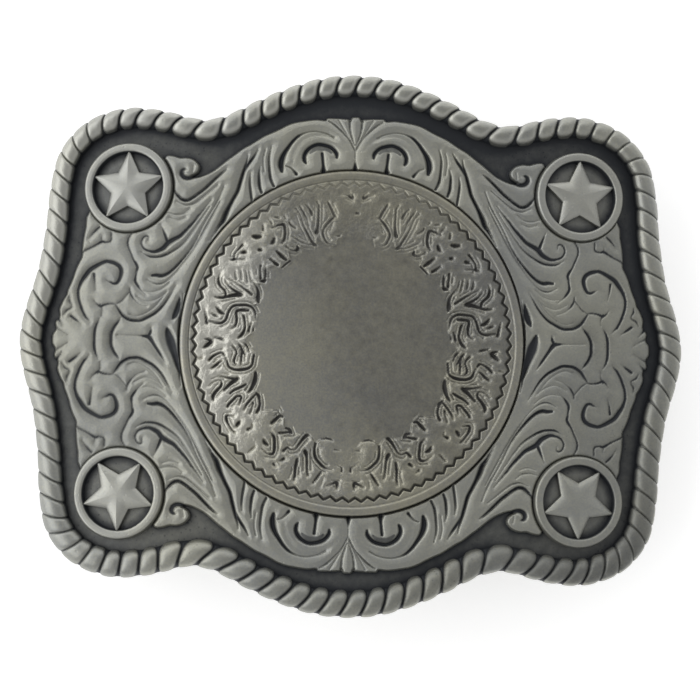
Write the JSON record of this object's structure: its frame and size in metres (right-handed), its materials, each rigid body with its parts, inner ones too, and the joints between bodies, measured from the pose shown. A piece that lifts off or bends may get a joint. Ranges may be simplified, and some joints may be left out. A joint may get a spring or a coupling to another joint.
{
  "type": "western belt buckle",
  "caption": "Wide bowed western belt buckle with a rope edge, raised scrollwork, star conchos and a round engraved medallion.",
  "frame": {"origin": "middle of the buckle's own box, on the table that it lies on face up", "axes": "+X across the buckle's width, away from the hook; +Y up the face; +Z out of the face"},
  "size_m": [0.0978, 0.0784, 0.0149],
  "materials": {
    "antiqued_casting": "cast zinc alloy with an antiqued silver plate, buffed bright on the relief and nearly black in the recesses",
    "engraved_disc": "brownish aged nickel silver, satin, engraved, with fine pits",
    "plain_wire": "plain drawn steel wire with a dull grey plate",
    "plain_stud": "plain turned steel with a dull grey plate"
  },
  "bodies": {
    "root": {"cast_face": "antiqued_casting", "medallion": "engraved_disc", "belt_loop": "plain_wire", "hook_post": "plain_stud"}
  },
  "joints": []
}
